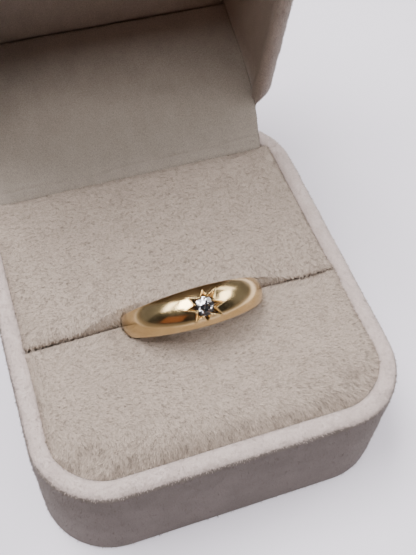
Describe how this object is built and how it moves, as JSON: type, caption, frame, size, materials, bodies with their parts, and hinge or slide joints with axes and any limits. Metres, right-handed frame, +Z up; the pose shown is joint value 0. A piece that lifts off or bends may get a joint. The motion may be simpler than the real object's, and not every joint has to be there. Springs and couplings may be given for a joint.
{
  "type": "flush set gypsy ring in a ring box",
  "caption": "Domed gold band with a small round stone set flush in a cut star, leaning in the slot of a padded velvet ring box whose hinged lid stands open.",
  "frame": {"origin": "middle of the base's flat underside, on the surface that the box stands on", "axes": "+X along the ring slot to the right of someone facing the open box, +Y from the box's front towards its hinge, +Z up"},
  "size_m": [0.052, 0.081, 0.0809],
  "materials": {
    "velvet_cover": "pale grey-beige velvet, matt",
    "velvet_pad": "pale grey-beige plush velvet, matt, brushed nap",
    "velvet_lining": "short-pile grey-beige velvet, matt",
    "hinge_steel": "plain steel rod",
    "yellow_gold": "polished yellow gold with fine wear scratches",
    "clear_stone": "clear round brilliant, polished facets"
  },
  "bodies": {
    "base": {"base_shell": "velvet_cover", "front_pad": "velvet_pad", "rear_pad": "velvet_pad", "hinge_flap": "velvet_lining", "hinge_rod": "hinge_steel", "ring_band": "yellow_gold", "stone": "clear_stone"},
    "lid": {"lid_shell": "velvet_cover", "lid_panel": "velvet_lining"}
  },
  "joints": [
    {"name": "lid_hinge", "type": "hinge", "parent": "base", "child": "lid", "pos_m": [0, 0.02915, 0.01955], "axis": [1, 0, 0], "range_deg": [0, 80], "deforming": ["hinge_flap"]}
  ]
}
